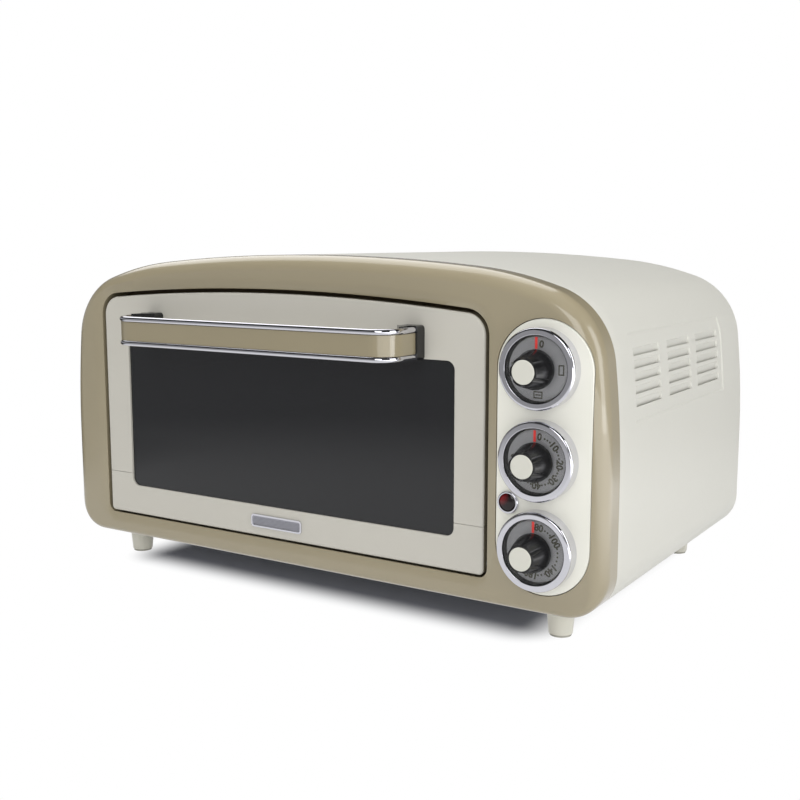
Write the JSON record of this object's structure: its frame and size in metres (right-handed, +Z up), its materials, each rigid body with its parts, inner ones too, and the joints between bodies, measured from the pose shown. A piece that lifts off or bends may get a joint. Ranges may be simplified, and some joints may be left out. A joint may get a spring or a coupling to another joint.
{
  "type": "electric oven",
  "caption": "Countertop electric oven with an arched case, drop-down glass door with a strap handle, rotary control knobs and a pilot lamp.",
  "frame": {"origin": "centre of the oven's bounding box at worktop level, under the case", "axes": "+Z up, -Y towards the user in front of the door, +X to the controls"},
  "size_m": [0.46, 0.3292, 0.2445],
  "materials": {
    "cream_enamel": "semi-gloss baked enamel",
    "khaki_gloss": "high gloss moulding",
    "cream_door": "semi-gloss baked enamel",
    "cream_plastic": "semi-gloss moulding",
    "bright_chrome": "polished",
    "dial_grey": "satin, printed",
    "clear_disc": "clear, polished",
    "black_plastic": "satin",
    "dark_glass": "dark tinted, polished",
    "aluminised_steel": "dull spangled sheet",
    "plated_steel": "zinc plated",
    "element_steel": "heat-toned sheath",
    "plated_wire": "bright plated",
    "tray_enamel": "speckled black enamel",
    "white_ceramic": "unglazed",
    "red_lens": "polished, dark red",
    "foot_rubber": "matte",
    "bell_brass": "drawn",
    "lead_insulation": "silicone sleeve"
  },
  "bodies": {
    "case": {"base_plate": "cream_enamel", "bezel_screws": "plated_steel", "body_wrap": "cream_enamel", "cable_gland": "black_plastic", "case_screws": "plated_steel", "cavity_liner": "aluminised_steel", "control_plate": "cream_plastic", "element_insulators": "white_ceramic", "feet": "cream_plastic", "foot_pads": "foot_rubber", "foot_screws": "plated_steel", "front_bezel": "khaki_gloss", "front_plate": "aluminised_steel", "function_dial": "dial_grey", "function_ring": "bright_chrome", "function_switch": "black_plastic", "heat_shield": "aluminised_steel", "hinge_brackets": "plated_steel", "lamp_bezel": "bright_chrome", "lamp_holder": "black_plastic", "lamp_lens": "red_lens", "lower_elements": "element_steel", "rear_panel": "cream_enamel", "terminal_block": "white_ceramic", "thermostat": "plated_steel", "thermostat_bulb": "plated_steel", "thermostat_dial": "dial_grey", "thermostat_ring": "bright_chrome", "timer_bell": "bell_brass", "timer_dial": "dial_grey", "timer_movement": "plated_steel", "timer_ring": "bright_chrome", "upper_elements": "element_steel", "wiring": "lead_insulation"},
    "door": {"door_frame": "cream_door", "door_lower_rail": "cream_door", "door_glass": "dark_glass", "door_inner_frame": "aluminised_steel", "hinge_pins": "plated_steel", "door_badge": "bright_chrome", "handle_strap": "khaki_gloss", "handle_rail_lower": "bright_chrome", "handle_rail_upper": "bright_chrome", "handle_bracket_left": "black_plastic", "handle_bracket_right": "black_plastic", "handle_screws": "plated_steel"},
    "function_control": {"function_knob": "black_plastic", "function_knob_cap": "cream_plastic", "function_pointer_disc": "clear_disc", "function_shaft": "plated_steel"},
    "timer_control": {"timer_knob": "black_plastic", "timer_knob_cap": "cream_plastic", "timer_pointer_disc": "clear_disc", "timer_shaft": "plated_steel"},
    "thermostat_control": {"thermostat_knob": "black_plastic", "thermostat_knob_cap": "cream_plastic", "thermostat_pointer_disc": "clear_disc", "thermostat_shaft": "plated_steel"},
    "rack": {"wire_rack": "plated_wire"},
    "tray": {"baking_tray": "tray_enamel"}
  },
  "joints": [
    {"name": "door_hinge", "type": "hinge", "parent": "case", "child": "door", "pos_m": [0, -0.1176, 0.0465], "axis": [1, 0, 0], "range_deg": [0, 88]},
    {"name": "function_knob_turn", "type": "hinge", "parent": "case", "child": "function_control", "pos_m": [0.1865, -0.1266, 0.1775], "axis": [0, 1, 0], "range_deg": [0, 270]},
    {"name": "timer_knob_turn", "type": "hinge", "parent": "case", "child": "timer_control", "pos_m": [0.1865, -0.1266, 0.12065], "axis": [0, 1, 0], "range_deg": [0, 270]},
    {"name": "thermostat_knob_turn", "type": "hinge", "parent": "case", "child": "thermostat_control", "pos_m": [0.1865, -0.1266, 0.0638], "axis": [0, 1, 0], "range_deg": [0, 270]},
    {"name": "rack_slide", "type": "slide", "parent": "case", "child": "rack", "axis": [0, -1, 0], "range_m": [0, 0.06]},
    {"name": "tray_slide", "type": "slide", "parent": "case", "child": "tray", "axis": [0, -1, 0], "range_m": [0, 0.034]}
  ],
  "couplings": [
    {"joint": "rack_slide", "follows": "door_hinge", "m_per_rad": 0.03906},
    {"joint": "tray_slide", "follows": "door_hinge", "m_per_rad": 0.02213}
  ]
}
